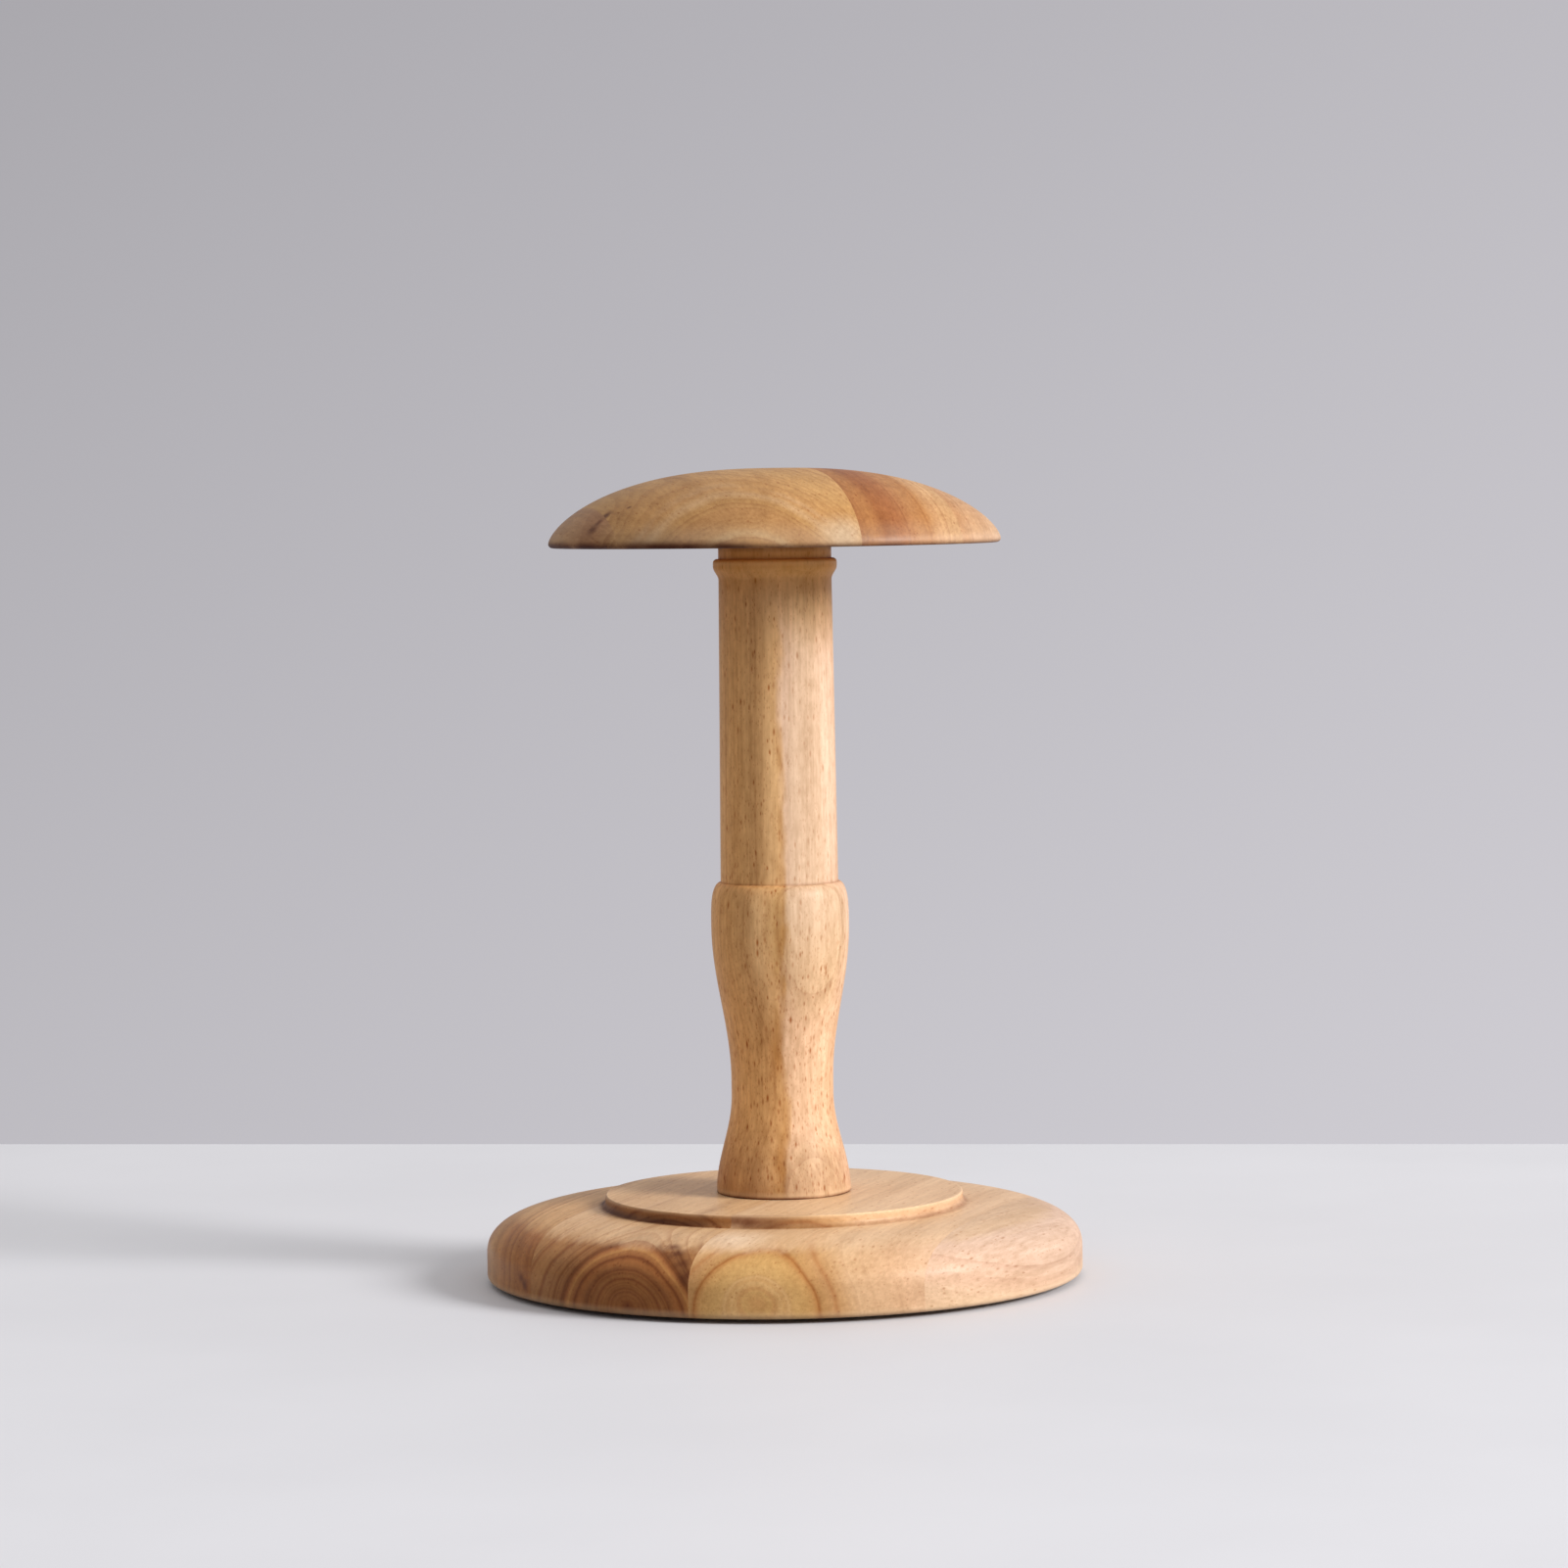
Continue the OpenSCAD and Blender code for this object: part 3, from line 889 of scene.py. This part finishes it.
post_outline = [
    (0, low_bore_z + bolt_bore_r), (bolt_bore_r, low_bore_z), (bolt_bore_r, step_z),
    *round_edge((foot_r - foot_edge, step_z + foot_edge), foot_edge, -90, 0),
    *s_bend((foot_r, step_z + foot_edge), (waist_r, waist_z)),
    *s_bend((waist_r, waist_z + waist_h), (belly_r, belly_z)),
    *rolled_quarter((shaft_low_r, belly_z), belly_r - shaft_low_r, belly_shoulder_h, 2, belly_power),
    *s_bend((shaft_top_r, band_z - bead_swell_h), (bead_r, band_z), steps=12),
    *round_edge((bead_r - bead_edge, bead_top_z - bead_edge), bead_edge, 0, 90),
    (shaft_top_r, bead_top_z), (shaft_top_r, head_z),
    (bolt_bore_r, head_z), (bolt_bore_r, high_bore_z), (0, high_bore_z - bolt_bore_r)]
print("post outline points:", len(post_outline))

# %% Post wood and piece
post_pith = (-30 * MM, 52 * MM, 0)
upright_grain = (pi / 2, 0, 0)
# Painted shade under the head, below the bead, under the belly's shoulder and round the foot, most on the
# left; painted warm bounce light near the bead; painted highlights on the bead's and foot's edges.
neck_creases = [(shaft_top_r, head_z, 4 * MM, 0.7), (shaft_top_r, bead_top_z, 2.4 * MM, 0.45),
                (shaft_top_r, band_z - bead_swell_h, 8 * MM, 0.14)]
foot_creases = [(shaft_low_r, belly_top_z, 1 * MM, 0.3), (foot_r, step_z, 1.4 * MM, 1),
                (foot_r, step_z, 30 * MM, 0.25), (foot_r, step_z, 34 * MM, 0.35, 0, -16 * MM)]
post_wood = wood(
    "Upright post wood", post_pith, upright_grain,
    [(38, "F0BF8D"), (50, "EAB988"), (60, "EEBD92"), (68, "E5B68B"), (71.5, "E2B68F"), (74, "D8AE8A"),
     (76.5, "E2BC9D"), (78, "E0BA9B"), (80, "D2AF8D"), (86, "D6B393")],
    seed=8.0, ring_width=1.5, wander=1.2, ring_depth=0.22, pores=1.0, mottle=1.3,
    stain_and_head_shade={"border": 1.6 * MM, "soft": 4.6 * MM, "stain_and_shade_tone": "FFF1C8",
           "head_shade_z": (head_z - 40 * MM, head_z - 14 * MM), "low_z": (belly_top_z, belly_top_z - 30 * MM)},
    lit_edges=[(bead_r, band_z + bead_band_h, 1.4 * MM), (foot_r, step_z + 1 * MM, 2 * MM)],
    light_tints=[(bead_r, band_z + 2 * MM, 14 * MM, 0.5, "FFB54D")], creases=neck_creases + foot_creases, coat=0.3)
make_piece(lathe(post_outline, steps=160), "wood_post", "post", post_wood)

# %% [markdown]
# ## Threads
# A hanger bolt has a machine thread at one end and a coarse wood thread with a point at the other. A bump
# could fake the threads, but the bolts are in full view when the stand is unscrewed. Spin can also climb as
# it turns: an outline of one ridge, spun with a step of pitch per turn, makes a true helix, which two flat
# cuts then trim to length.

# %% Thread helpers
TURN_STEPS = 32
LEVEL_ROOM = 0.01 * MM


def helix(root, crest, pitch, low, high):
    """An open threaded surface of one outline ridge, right-handed, cut flat at two levels."""
    shape = bmesh.new()
    turns = ceil((high - low) / pitch) + 2
    start = low - pitch
    ridge = [(root, 0), (root, 0.12), (crest, 0.44), (crest, 0.56), (root, 0.88), (root, 1)]
    outline = wire(shape, [(radius, start + share * pitch) for radius, share in ridge])
    bmesh.ops.spin(shape, geom=outline, axis=(0, 0, 1), angle=tau * turns, steps=TURN_STEPS * turns,
                   dvec=(0, 0, pitch / TURN_STEPS))
    bmesh.ops.remove_doubles(shape, verts=shape.verts, dist=MERGE_DISTANCE)
    for level, side in ((low, -1), (high, 1)):
        cut_away(shape, (0, 0, level), (0, 0, side))
    return shape


def straight_wall(radius, segments, start_z, end_z):
    """An open tube between two levels."""
    shape = bmesh.new()
    ring = bmesh.ops.create_circle(shape, radius=radius, segments=segments)["verts"]
    bmesh.ops.translate(shape, verts=ring, vec=(0, 0, start_z))
    wall = bmesh.ops.extrude_edge_only(shape, edges=shape.edges[:])["geom"]
    moved = [item for item in wall if isinstance(item, bmesh.types.BMVert)]
    bmesh.ops.translate(shape, verts=moved, vec=(0, 0, end_z - start_z))
    return shape


def turn_down(shape, limit):
    """Brings every point that stands outside limit(height) in to it, as a lathe tool would."""
    for vert in shape.verts:
        radius = hypot(vert.co.x, vert.co.y)
        if radius > limit(vert.co.z):
            vert.co.xy *= limit(vert.co.z) / radius


def close_level(shape, level):
    """Fills the flat area between the open edges at one level."""
    rim = [edge for edge in shape.edges
           if edge.is_boundary and all(abs(vert.co.z - level) < LEVEL_ROOM for vert in edge.verts)]
    bmesh.ops.triangle_fill(shape, edges=rim, use_beauty=True, normal=(0, 0, 1))


def join_shapes(shapes, levels):
    """Puts several open shapes into one, merges the points that they share and closes it at some levels."""
    whole = bmesh.new()
    for shape in shapes:
        mesh = bpy.data.meshes.new("part")
        shape.to_mesh(mesh)
        shape.free()
        whole.from_mesh(mesh)
        bpy.data.meshes.remove(mesh)
    bmesh.ops.remove_doubles(whole, verts=whole.verts, dist=MERGE_DISTANCE)
    for level in levels:
        close_level(whole, level)
    return whole


# %% [markdown]
# ## Steel
# Bolts and inserts are zinc plated: bright, a little blue and clouded where the plate dried unevenly.

# %% Plated steel
plated_steel, tree, shader, place = new_material("Plated steel")
cloud = noise(tree, place["Object"], seed=1.0, scale=260.0, detail=3.0)[0]
scratch_place = vector_calc(tree, "MULTIPLY", place["Object"], (1, 1, 12))
scratch = noise(tree, scratch_place, seed=2.0, scale=900.0, detail=3.0)[0]
feed_named(tree, shader, Metallic=1.0,
           Base_Color=mix(tree, ease(tree, cloud, 0.3, 0.7), tone("BFC4C9"), tone("DADBD8")),
           Roughness=times_plus(tree, cloud, 0.25, 0.2),
           Normal=bump_normal(tree, 0.25, 0.1 * MM, scratch))
print("steel nodes:", len(tree.nodes))

# %% [markdown]
# ## Hanger bolts and inserts
# Each bolt is drawn with the post's end face at one level: the machine thread stands out of the wood, a
# plain collar sits at the face, and the wood thread runs in to a point. The insert's inner thread is the
# bolt's own outline with a hair of room, so the two mesh, and a hexagon socket at its mouth takes the key
# that drives it into the wood.

# %% Hanger bolts
machine_pitch = 1.25 * MM
wood_pitch = 3 * MM
thread_depth = 0.7 * MM
wood_thread_depth = 1 * MM
bolt_chamfer = 0.8 * MM
bolt_point = 6 * MM
point_r = 0.2 * MM
collar_h = 3 * MM
crest_r = bolt_r - fit_gap


def hanger_bolt(node, face_z, inward):
    """A hanger bolt that runs into the post from its face at face_z, up for 1 and down for -1."""
    low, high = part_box(node)[0].z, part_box(node)[1].z
    free_end, wood_end = (low, high) if inward > 0 else (high, low)
    collar_in = face_z + inward * collar_h
    machine = helix(crest_r - thread_depth, crest_r, machine_pitch, *sorted((free_end, face_z)))
    turn_down(machine, lambda z: crest_r - max(0, bolt_chamfer - abs(z - free_end)))
    screw = helix(crest_r - wood_thread_depth, crest_r, wood_pitch, *sorted((collar_in, wood_end)))
    turn_down(screw, lambda z: max(point_r, crest_r * min(1, abs(wood_end - z) / bolt_point)))
    collar = straight_wall(bolt_r, 2 * TURN_STEPS, face_z, collar_in)
    return join_shapes([machine, screw, collar], (free_end, face_z, collar_in, wood_end))


for side, face_z, inward in (("lower", step_z, 1), ("upper", head_z, -1)):
    bolt = hanger_bolt(f"{side}_bolt", face_z, inward)
    make_piece(bolt, f"steel_{side}_bolt", f"{side}_bolt", plated_steel)

# %% Threaded inserts
insert_pitch = 2.5 * MM
insert_thread_depth = 0.7 * MM
thread_room = 0.1 * MM
socket_r = 4.7 * MM
socket_depth = 4 * MM


def threaded_insert(node, bolt_start, mouth):
    """An insert with a coarse thread outside, the bolt's thread inside and a hexagon socket at its mouth."""
    low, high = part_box(node)[0].z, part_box(node)[1].z
    mouth_z, far_z = (high, low) if mouth > 0 else (low, high)
    seat_z = mouth_z - mouth * socket_depth
    outside = helix(insert_r - insert_thread_depth, insert_r, insert_pitch, low, high)
    inside_r = crest_r + thread_room
    inside = helix(inside_r - thread_depth, inside_r, machine_pitch, *sorted((far_z, seat_z)))
    slip = (min(far_z, seat_z) - bolt_start) % machine_pitch
    in_step = upright_turn(tau * slip / machine_pitch)
    bmesh.ops.rotate(inside, verts=inside.verts, matrix=in_step)
    socket = straight_wall(socket_r, 6, seat_z, mouth_z)
    return join_shapes([outside, inside, socket], (far_z, seat_z, mouth_z))


for part, bolt_start, mouth in (("base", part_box("lower_bolt")[0].z, 1), ("head", head_z, -1)):
    insert = threaded_insert(f"{part}_insert", bolt_start, mouth)
    make_piece(insert, f"steel_{part}_insert", f"{part}_insert", plated_steel)

# %% [markdown]
# ## Pads
# Four thin soft pads keep the base off the table. They are punched from a dark sheet, so the wall is
# straight, the lower edge is a little round and the skin is finely pitted.

# %% Pad skin
pad_skin, tree, shader, place = new_material("Dark pad")
pits = noise(tree, place["Object"], seed=3.0, scale=2500.0, detail=2.0)[0]
feed_named(tree, shader,
           Base_Color=mix(tree, ease(tree, pits, 0.35, 0.65), tone("191817"), tone("2C2A28")),
           Roughness=times_plus(tree, pits, 0.2, 0.7),
           Normal=bump_normal(tree, 0.5, 0.1 * MM, pits))
print("pad nodes:", len(tree.nodes))

# %% Foot pads
pad_edge = 0.4 * MM
for number in range(1, 5):
    low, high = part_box(f"foot_pad_{number}")
    pad_r = (high.x - low.x) / 2
    middle = (low + high) / 2
    rounded = round_edge((pad_r - pad_edge, pad_edge), pad_edge, -90, 0)
    pad = lathe([(0, 0), *rounded, (pad_r, high.z), (0, high.z)], steps=64)
    bmesh.ops.translate(pad, verts=pad.verts, vec=(middle.x, middle.y, 0))
    pad_piece = make_piece(pad, f"dark_foot_pad_{number}", f"foot_pad_{number}", pad_skin)

# %% [markdown]
# ## Table and backdrop
# The stand is on a pale table whose far edge meets a grey backdrop. A real backdrop sheet would hide the
# stand from behind, so the grey is in the world instead, as a gentle slope of light that only the camera and
# reflections see. What lights the stand is brightest overhead, as in a studio with a white ceiling. The table
# is a slab with a rounded edge, and is paler to the camera than to the stand, so it throws up less light.

# %% Table
def looked_at(tree):
    """1 for what the camera or a reflection sees, and 0 for light that only spreads."""
    ray = add_node(tree, "ShaderNodeLightPath").outputs
    seen = larger(tree, ray["Is Camera Ray"], ray["Is Glossy Ray"])
    return larger(tree, seen, ray["Is Transmission Ray"])


table_far = 0.35
table_near = -2.2
table_side = 2.0
table_thick = 0.03
table_edge = 2 * MM
table_skew = radians(-6.45)
table_skin, tree, shader, place = new_material("Pale table")
cloud = noise(tree, place["Object"], seed=5.0, scale=6.0, detail=4.0)[0]
pale = mix(tree, ease(tree, cloud, 0.3, 0.7), tone("D5D4D8"), tone("D9D8DC"))
feed_named(tree, shader, Base_Color=mix(tree, looked_at(tree), tone("959397"), pale), Roughness=0.6)
slab = bmesh.new()
bmesh.ops.create_cube(slab, size=1.0)
bmesh.ops.scale(slab, verts=slab.verts, vec=(2 * table_side, table_far - table_near, table_thick))
bmesh.ops.translate(slab, verts=slab.verts, vec=(0, (table_far + table_near) / 2, -table_thick / 2))
bmesh.ops.rotate(slab, verts=slab.verts, cent=(0, table_far, 0), matrix=upright_turn(table_skew))
bmesh.ops.bevel(slab, geom=slab.edges[:], offset=table_edge, affect="EDGES", segments=3, profile=0.5,
                material=-1)
table = mesh_object(slab, "table", table_skin)

# %% World
backdrop_middle = 0.51
backdrop_to_right = 0.36
backdrop_upward = -0.53
backdrop_darkest = 0.36
backdrop_brightest = 0.64
backdrop_tint = (0.99, 0.965, 1.03)
fill_level = 0.18
fill_rise = 1.56
fill_bend = -1.08
world = bpy.data.worlds.new("Studio")
world.use_nodes = True
bpy.context.scene.world = world
tree = world.node_tree
tree.nodes.clear()
sideways, _, upward = split(tree, add_node(tree, "ShaderNodeTexCoord").outputs["Generated"])
level = times_plus(tree, sideways, backdrop_to_right, backdrop_middle)
level = times_plus(tree, upward, backdrop_upward, level)
level = calc(tree, "MINIMUM", larger(tree, level, backdrop_darkest), backdrop_brightest)
grey = vector_calc(tree, "MULTIPLY", backdrop_tint, level)
rise = larger(tree, upward, 0.0)
overhead = times_plus(tree, rise, fill_bend, fill_rise)
overhead = times_plus(tree, rise, overhead, fill_level)
fill = add_node(tree, "ShaderNodeBackground", (tone("FFFFFF"), overhead))
backdrop = add_node(tree, "ShaderNodeBackground", (grey, 1.0))
shown = add_node(tree, "ShaderNodeMixShader", (looked_at(tree), fill.outputs[0], backdrop.outputs[0]))
add_node(tree, "ShaderNodeOutputWorld", (shown.outputs[0],))
print("world nodes:", len(tree.nodes))

# %% [markdown]
# ## Light and camera
# One soft lamp stands low in front on the right. It lights the right of the post, leaves the left in soft
# shade, draws the head's shadow on the neck and throws the long pale shadow to the left.

# %% Lamp
lamp_turn = radians(25)
lamp_rise = radians(25.2)
lamp_far = 6.0
lamp_half_angle = radians(11)
lamp_strength = 1.15
aim = Vector((0, 0, 0.13))
lamp_data = bpy.data.lights.new("soft_lamp", "AREA")
lamp_data.shape = "DISK"
lamp_data.size = 2 * lamp_far * tan(lamp_half_angle)
lamp_data.energy = lamp_strength * pi * pi * lamp_far ** 2
lamp = add_object("soft_lamp", lamp_data)
to_right = cos(lamp_rise) * cos(lamp_turn)
to_front = cos(lamp_rise) * sin(lamp_turn)
toward_lamp = Vector((to_right, -to_front, sin(lamp_rise)))
lamp.location = aim + lamp_far * toward_lamp
lamp.rotation_euler = toward_lamp.to_track_quat("Z", "Y").to_euler()
print("lamp power:", round(lamp_data.energy, 1))

# %% Camera
half_picture = 800.5
focal_pixels = 5272.7
camera_dip = 0.0585
camera_pan = -0.0146
camera_data = bpy.data.cameras.new("camera")
camera_data.angle = 2 * atan(half_picture / focal_pixels)
camera = add_object("camera", camera_data)
camera.location = (0.0020, -1.7254, 0.2671)
camera.rotation_mode = "ZYX"
camera.rotation_euler = (pi / 2 - camera_dip, 0, camera_pan)
bpy.context.scene.camera = camera
bpy.context.scene.view_settings.view_transform = "Standard"
print("camera angle:", round(camera_data.angle, 4))
